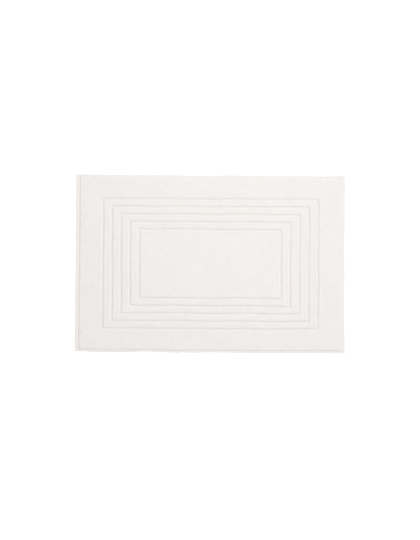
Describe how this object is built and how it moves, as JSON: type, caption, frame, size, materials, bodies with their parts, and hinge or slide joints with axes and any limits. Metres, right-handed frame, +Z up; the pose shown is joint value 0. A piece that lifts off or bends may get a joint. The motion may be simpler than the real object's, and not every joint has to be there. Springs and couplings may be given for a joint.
{
  "type": "bath mat",
  "caption": "Flat oblong bath mat in thick terry cloth, with nested oblong channels sunk in its face, turned and sewn hems, and a blank sewn-in ribbon label.",
  "frame": {"origin": "on the surface the mat lies on, under the middle of the mat", "axes": "+X along the mat's length, towards the end hem that holds the label; +Y across its width; +Z up, out of the face that has the channels"},
  "size_m": [0.9, 0.594, 0.0066],
  "materials": {
    "terry_pile": "cotton loops, uncut, warm white, matt",
    "ground_weave": "flat-woven cotton, warm white, matt",
    "hem_cloth": "flat-woven cotton, turned twice, warm white, matt",
    "sewing_thread": "spun polyester thread, white, faint sheen",
    "label_satin": "woven satin ribbon, white, soft gloss, blank"
  },
  "bodies": {
    "mat": {"ground_cloth": "ground_weave", "back_pile": "terry_pile", "border_pile": "terry_pile", "rib_1_pile": "terry_pile", "rib_2_pile": "terry_pile", "rib_3_pile": "terry_pile", "rib_4_pile": "terry_pile", "centre_pile": "terry_pile", "right_end_hem": "hem_cloth", "right_end_needle_thread": "sewing_thread", "right_end_bobbin_thread": "sewing_thread", "back_side_hem": "hem_cloth", "back_side_needle_thread": "sewing_thread", "back_side_bobbin_thread": "sewing_thread", "left_end_hem": "hem_cloth", "left_end_needle_thread": "sewing_thread", "left_end_bobbin_thread": "sewing_thread", "front_side_hem": "hem_cloth", "front_side_needle_thread": "sewing_thread", "front_side_bobbin_thread": "sewing_thread", "label_sewn_end": "label_satin"},
    "label": {"label_flap": "label_satin"}
  },
  "joints": [
    {"name": "label_flap", "type": "hinge", "parent": "mat", "child": "label", "pos_m": [0.4363, -0.176, 0.00065], "axis": [0, -1, 0], "range_deg": [0, 140]}
  ]
}
